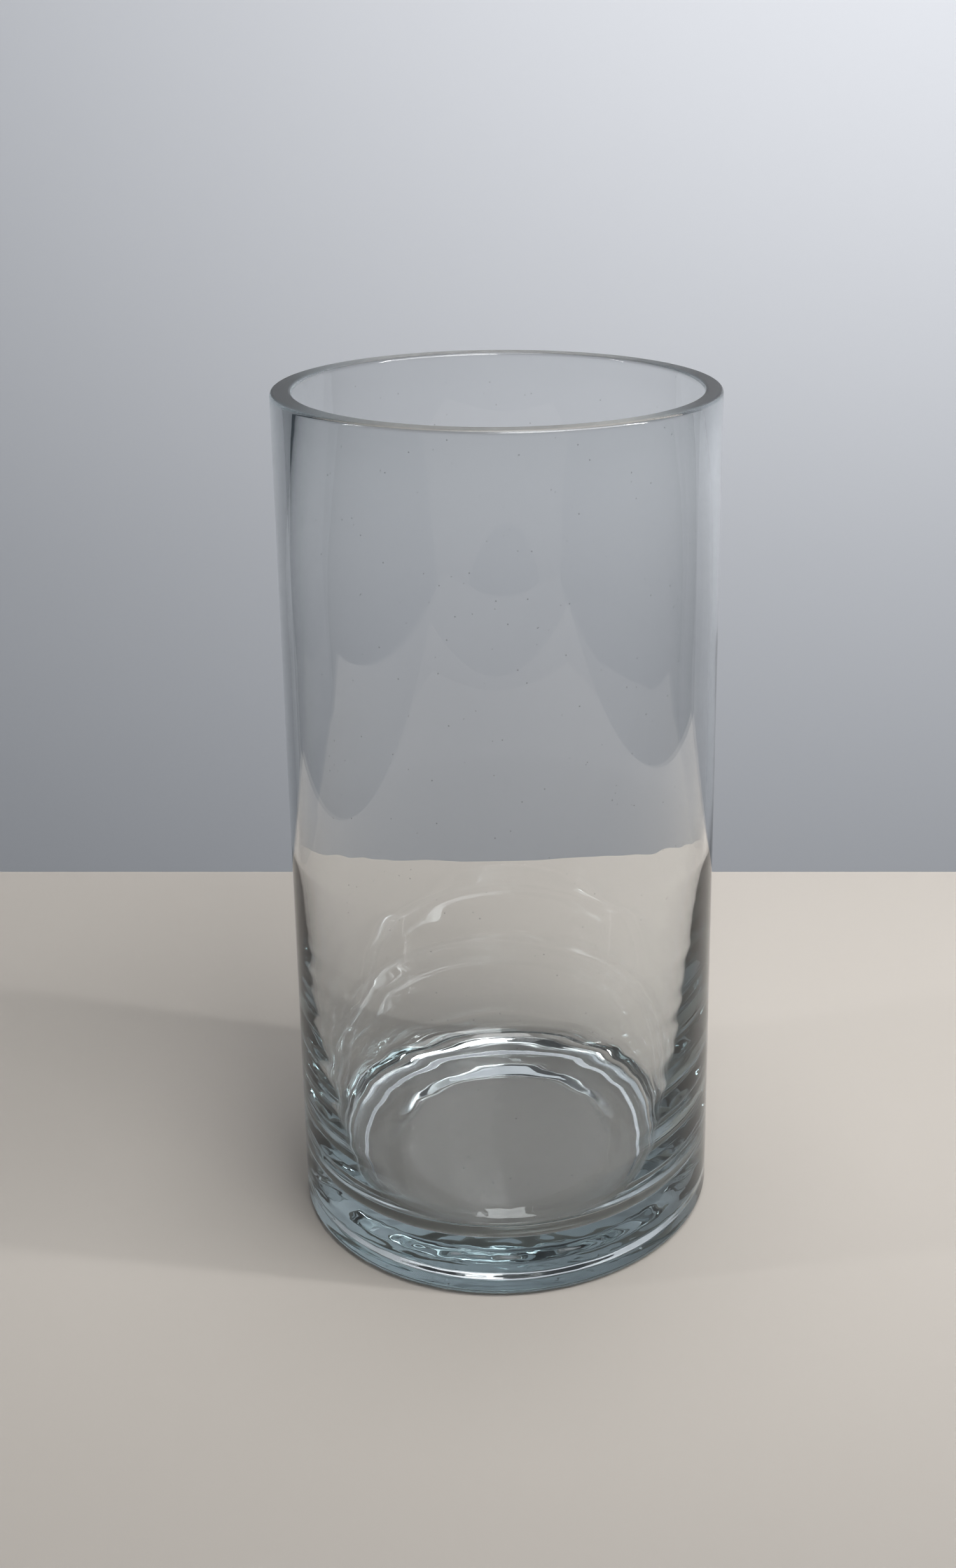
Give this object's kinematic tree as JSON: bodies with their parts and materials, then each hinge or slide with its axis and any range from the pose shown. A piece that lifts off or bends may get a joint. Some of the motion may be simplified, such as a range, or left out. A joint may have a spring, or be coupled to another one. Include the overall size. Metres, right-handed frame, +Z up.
{
  "type": "glass cylinder vase",
  "caption": "Clear glass cylinder vase: straight round side, thick solid base, open mouth with a flat polished rim, for standing cut flowers in water.",
  "frame": {"origin": "centre of the foot, on the surface that the vase stands on", "axes": "+Z up, along the vase's axis of symmetry and out of its mouth; X and Y are equivalent"},
  "size_m": [0.125, 0.125, 0.25],
  "materials": {
    "clear_glass": "clear soda-lime glass with a faint grey-green tint, fire-finished side, ground and polished rim"
  },
  "bodies": {
    "root": {"vase": "clear_glass"}
  },
  "joints": []
}
